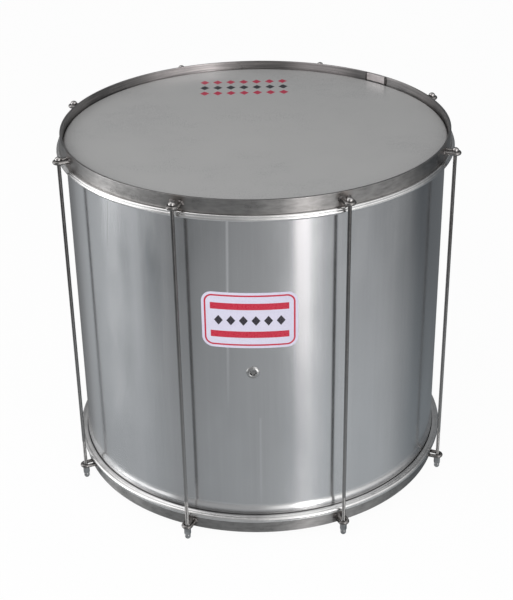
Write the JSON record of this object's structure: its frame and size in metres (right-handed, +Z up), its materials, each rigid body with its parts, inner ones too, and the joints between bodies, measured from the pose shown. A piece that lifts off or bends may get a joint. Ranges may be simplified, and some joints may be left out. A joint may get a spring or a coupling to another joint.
{
  "type": "surdo drum",
  "caption": "Samba bass drum: aluminium shell with a plastic head on each end, flat steel hoops with wire loops, full-length tension rods that end in acorn nuts, a vent eyelet and a label.",
  "frame": {"origin": "on the drum's axis, at the level of the nut tips that it stands on", "axes": "+Z up along the drum's axis; -Y is the front, with the vent eyelet and the label; +X is to the right seen from the front"},
  "size_m": [0.5318, 0.5318, 0.4958],
  "materials": {
    "shell": "bright rolled sheet",
    "collar": "bright extruded",
    "hoop": "plated flat bar",
    "loop": "plated round wire",
    "rod": "plated round rod",
    "washer": "plated",
    "nut": "plated, polished",
    "eyelet": "plated pressing",
    "head_film": "milky satin film",
    "label": "printed sticker"
  },
  "bodies": {
    "drum": {"shell": "shell", "vent_eyelet": "eyelet", "label": "label", "top_head_film": "head_film", "top_head_collar": "collar", "top_hoop": "hoop", "top_hoop_splice": "hoop", "bottom_head_film": "head_film", "bottom_head_collar": "collar", "bottom_hoop": "hoop", "top_loop_1": "loop", "top_loop_2": "loop", "top_loop_3": "loop", "top_loop_4": "loop", "top_loop_5": "loop", "top_loop_6": "loop", "top_loop_7": "loop", "top_loop_8": "loop", "bottom_loop_1": "loop", "bottom_loop_2": "loop", "bottom_loop_3": "loop", "bottom_loop_4": "loop", "bottom_loop_5": "loop", "bottom_loop_6": "loop", "bottom_loop_7": "loop", "bottom_loop_8": "loop", "rod_1": "rod", "rod_2": "rod", "rod_3": "rod", "rod_4": "rod", "rod_5": "rod", "rod_6": "rod", "rod_7": "rod", "rod_8": "rod"},
    "washer_body_1": {"washer_1": "washer"},
    "nut_body_1": {"nut_1": "nut"},
    "washer_body_2": {"washer_2": "washer"},
    "nut_body_2": {"nut_2": "nut"},
    "washer_body_3": {"washer_3": "washer"},
    "nut_body_3": {"nut_3": "nut"},
    "washer_body_4": {"washer_4": "washer"},
    "nut_body_4": {"nut_4": "nut"},
    "washer_body_5": {"washer_5": "washer"},
    "nut_body_5": {"nut_5": "nut"},
    "washer_body_6": {"washer_6": "washer"},
    "nut_body_6": {"nut_6": "nut"},
    "washer_body_7": {"washer_7": "washer"},
    "nut_body_7": {"nut_7": "nut"},
    "washer_body_8": {"washer_8": "washer"},
    "nut_body_8": {"nut_8": "nut"}
  },
  "joints": [
    {"name": "washer_travel_1", "type": "slide", "parent": "drum", "child": "washer_body_1", "axis": [0, 0, -1], "range_m": [0, 0.008]},
    {"name": "nut_turn_1", "type": "hinge", "parent": "washer_body_1", "child": "nut_body_1", "pos_m": [0.1045, -0.25228, 0.009], "axis": [0, 0, -1], "range_deg": [0, 3600]},
    {"name": "washer_travel_2", "type": "slide", "parent": "drum", "child": "washer_body_2", "axis": [0, 0, -1], "range_m": [0, 0.008]},
    {"name": "nut_turn_2", "type": "hinge", "parent": "washer_body_2", "child": "nut_body_2", "pos_m": [0.25228, -0.1045, 0.009], "axis": [0, 0, -1], "range_deg": [0, 3600]},
    {"name": "washer_travel_3", "type": "slide", "parent": "drum", "child": "washer_body_3", "axis": [0, 0, -1], "range_m": [0, 0.008]},
    {"name": "nut_turn_3", "type": "hinge", "parent": "washer_body_3", "child": "nut_body_3", "pos_m": [0.25228, 0.1045, 0.009], "axis": [0, 0, -1], "range_deg": [0, 3600]},
    {"name": "washer_travel_4", "type": "slide", "parent": "drum", "child": "washer_body_4", "axis": [0, 0, -1], "range_m": [0, 0.008]},
    {"name": "nut_turn_4", "type": "hinge", "parent": "washer_body_4", "child": "nut_body_4", "pos_m": [0.1045, 0.25228, 0.009], "axis": [0, 0, -1], "range_deg": [0, 3600]},
    {"name": "washer_travel_5", "type": "slide", "parent": "drum", "child": "washer_body_5", "axis": [0, 0, -1], "range_m": [0, 0.008]},
    {"name": "nut_turn_5", "type": "hinge", "parent": "washer_body_5", "child": "nut_body_5", "pos_m": [-0.1045, 0.25228, 0.009], "axis": [0, 0, -1], "range_deg": [0, 3600]},
    {"name": "washer_travel_6", "type": "slide", "parent": "drum", "child": "washer_body_6", "axis": [0, 0, -1], "range_m": [0, 0.008]},
    {"name": "nut_turn_6", "type": "hinge", "parent": "washer_body_6", "child": "nut_body_6", "pos_m": [-0.25228, 0.1045, 0.009], "axis": [0, 0, -1], "range_deg": [0, 3600]},
    {"name": "washer_travel_7", "type": "slide", "parent": "drum", "child": "washer_body_7", "axis": [0, 0, -1], "range_m": [0, 0.008]},
    {"name": "nut_turn_7", "type": "hinge", "parent": "washer_body_7", "child": "nut_body_7", "pos_m": [-0.25228, -0.1045, 0.009], "axis": [0, 0, -1], "range_deg": [0, 3600]},
    {"name": "washer_travel_8", "type": "slide", "parent": "drum", "child": "washer_body_8", "axis": [0, 0, -1], "range_m": [0, 0.008]},
    {"name": "nut_turn_8", "type": "hinge", "parent": "washer_body_8", "child": "nut_body_8", "pos_m": [-0.1045, -0.25228, 0.009], "axis": [0, 0, -1], "range_deg": [0, 3600]}
  ],
  "couplings": [
    {"joint": "nut_turn_1", "follows": "washer_travel_1", "rad_per_m": 7854},
    {"joint": "nut_turn_2", "follows": "washer_travel_2", "rad_per_m": 7854},
    {"joint": "nut_turn_3", "follows": "washer_travel_3", "rad_per_m": 7854},
    {"joint": "nut_turn_4", "follows": "washer_travel_4", "rad_per_m": 7854},
    {"joint": "nut_turn_5", "follows": "washer_travel_5", "rad_per_m": 7854},
    {"joint": "nut_turn_6", "follows": "washer_travel_6", "rad_per_m": 7854},
    {"joint": "nut_turn_7", "follows": "washer_travel_7", "rad_per_m": 7854},
    {"joint": "nut_turn_8", "follows": "washer_travel_8", "rad_per_m": 7854}
  ]
}
